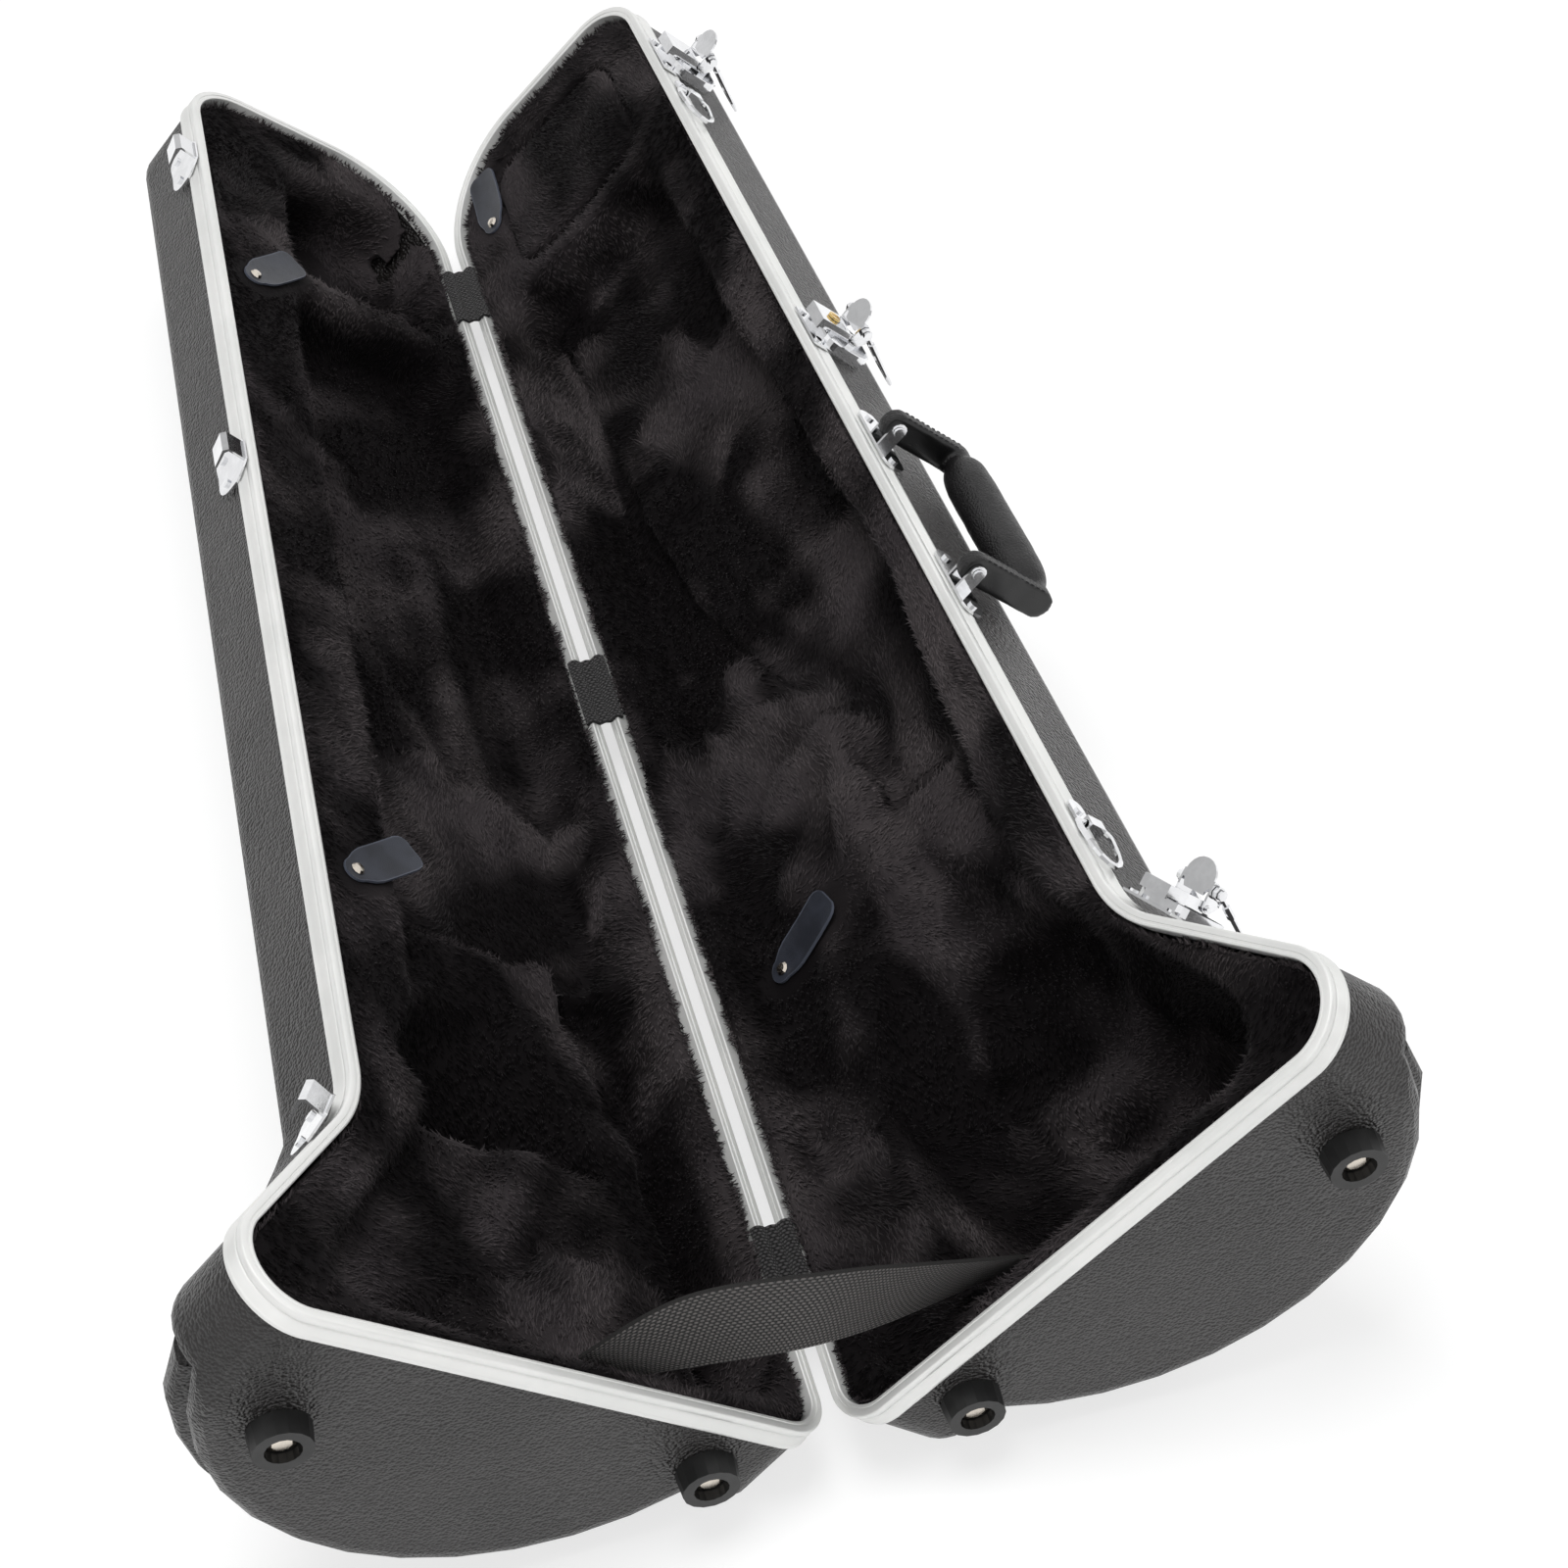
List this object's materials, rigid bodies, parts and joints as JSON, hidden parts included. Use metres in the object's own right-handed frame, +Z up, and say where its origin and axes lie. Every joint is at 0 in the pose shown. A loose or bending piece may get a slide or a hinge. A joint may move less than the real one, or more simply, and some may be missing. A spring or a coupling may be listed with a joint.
{
  "type": "trombone case",
  "caption": "Moulded trombone case standing open on its hinge side, with a domed bell end, plush lining, metal rims, latches, a carrying handle and rubber feet.",
  "frame": {"origin": "under the middle of the open case, on the surface it rests on", "axes": "+X along the hinge from the bell end to the narrow end, +Y to the half without the handle, +Z up"},
  "size_m": [0.9566, 0.5438, 0.248],
  "materials": {
    "shell": "pebble grain",
    "rim": "satin",
    "plush": "pile",
    "webbing": "woven",
    "rubber": "moulded",
    "nickel": "nickel plated",
    "chrome": "polished",
    "brass": "polished",
    "leather": "grained",
    "vinyl": "smooth"
  },
  "bodies": {
    "right_half": {"right_shell": "shell", "right_rim": "rim", "right_lining": "plush", "compartment_pad": "plush", "hinge_webbing_1": "webbing", "hinge_webbing_2": "webbing", "hinge_webbing_3": "webbing", "stay_strap": "webbing", "foot_1": "rubber", "foot_2": "rubber", "foot_screw_1": "nickel", "foot_screw_2": "nickel", "latch_1_base": "chrome", "latch_2_base": "chrome", "latch_3_base": "chrome", "latch_1_box": "chrome", "latch_2_box": "chrome", "latch_3_box": "chrome", "handle_bracket_1": "chrome", "handle_bracket_2": "chrome", "handle_pin_1": "chrome", "handle_pin_2": "chrome", "ring_plate_1": "chrome", "ring_plate_2": "chrome", "tab_rivet_1": "nickel", "tab_rivet_2": "nickel"},
    "left_half": {"left_shell": "shell", "left_rim": "rim", "left_lining": "plush", "foot_3": "rubber", "foot_4": "rubber", "foot_screw_3": "nickel", "foot_screw_4": "nickel", "catch_1": "chrome", "catch_2": "chrome", "catch_3": "chrome", "tab_rivet_3": "nickel", "tab_rivet_4": "nickel"},
    "paddle_1": {"latch_1_paddle": "chrome"},
    "paddle_2": {"latch_2_paddle": "chrome"},
    "paddle_3": {"latch_3_paddle": "chrome"},
    "bail_1": {"latch_1_bail": "chrome"},
    "bail_2": {"latch_2_bail": "chrome"},
    "bail_3": {"latch_3_bail": "chrome"},
    "lock": {"lock_cylinder": "brass"},
    "carrying_handle": {"handle": "leather"},
    "ring_1": {"strap_ring_1": "chrome"},
    "ring_2": {"strap_ring_2": "chrome"},
    "swivel_tab_1": {"tab_1": "vinyl"},
    "swivel_tab_2": {"tab_2": "vinyl"},
    "swivel_tab_3": {"tab_3": "vinyl"},
    "swivel_tab_4": {"tab_4": "vinyl"}
  },
  "joints": [
    {"name": "lid_hinge", "type": "hinge", "parent": "right_half", "child": "left_half", "pos_m": [0, 0, 0.03608], "axis": [1, 0, 0], "range_deg": [0, 93.1], "deforming": ["hinge_webbing_1", "hinge_webbing_2", "hinge_webbing_3", "stay_strap"]},
    {"name": "paddle_pivot_1", "type": "hinge", "parent": "right_half", "child": "paddle_1", "pos_m": [0.39377, -0.15999, 0.15269], "axis": [0.9979, 0.0467, -0.0442], "range_deg": [-25, 0]},
    {"name": "paddle_pivot_2", "type": "hinge", "parent": "right_half", "child": "paddle_2", "pos_m": [0.11027, -0.17325, 0.16525], "axis": [0.9979, 0.0467, -0.0442], "range_deg": [-25, 0]},
    {"name": "paddle_pivot_3", "type": "hinge", "parent": "right_half", "child": "paddle_3", "pos_m": [-0.34391, -0.20237, 0.19282], "axis": [0.8839, 0.3397, -0.3215], "range_deg": [-25, 0]},
    {"name": "bail_swing_1", "type": "hinge", "parent": "paddle_1", "child": "bail_1", "pos_m": [0.3943, -0.16662, 0.15759], "axis": [0.9979, 0.0467, -0.0442], "range_deg": [-180, 0]},
    {"name": "bail_swing_2", "type": "hinge", "parent": "paddle_2", "child": "bail_2", "pos_m": [0.1108, -0.17988, 0.17015], "axis": [0.9979, 0.0467, -0.0442], "range_deg": [-180, 0]},
    {"name": "bail_swing_3", "type": "hinge", "parent": "paddle_3", "child": "bail_3", "pos_m": [-0.34008, -0.20832, 0.19707], "axis": [0.8839, 0.3397, -0.3215], "range_deg": [-180, 0]},
    {"name": "lock_turn", "type": "hinge", "parent": "right_half", "child": "lock", "pos_m": [0.11045, -0.16614, 0.17683], "axis": [0.0643, -0.7247, 0.686], "range_deg": [0, 90]},
    {"name": "handle_swing", "type": "hinge", "parent": "right_half", "child": "carrying_handle", "pos_m": [-0.04556, -0.1742, 0.18308], "axis": [0.9979, 0.0467, -0.0442], "range_deg": [-110, 0]},
    {"name": "ring_swing_1", "type": "hinge", "parent": "right_half", "child": "ring_1", "pos_m": [0.34473, -0.1461, 0.16336], "axis": [0, 0.6875, 0.7262], "range_deg": [0, 170]},
    {"name": "ring_swing_2", "type": "hinge", "parent": "right_half", "child": "ring_2", "pos_m": [-0.28814, -0.17571, 0.19139], "axis": [0, 0.6875, 0.7262], "range_deg": [0, 170]},
    {"name": "tab_swivel_1", "type": "hinge", "parent": "right_half", "child": "swivel_tab_1", "pos_m": [0.41155, -0.02857, 0.0539], "axis": [0, -0.6875, -0.7262], "range_deg": [0, 120]},
    {"name": "tab_swivel_2", "type": "hinge", "parent": "right_half", "child": "swivel_tab_2", "pos_m": [-0.20241, -0.04591, 0.0414], "axis": [0, -0.6875, -0.7262], "range_deg": [-45, 45]},
    {"name": "tab_swivel_3", "type": "hinge", "parent": "left_half", "child": "swivel_tab_3", "pos_m": [0.29456, 0.12225, 0.14258], "axis": [0, -0.6875, 0.7262], "range_deg": [-40, 40]},
    {"name": "tab_swivel_4", "type": "hinge", "parent": "left_half", "child": "swivel_tab_4", "pos_m": [-0.1854, 0.14622, 0.16527], "axis": [0, -0.6875, 0.7262], "range_deg": [-40, 40]}
  ]
}
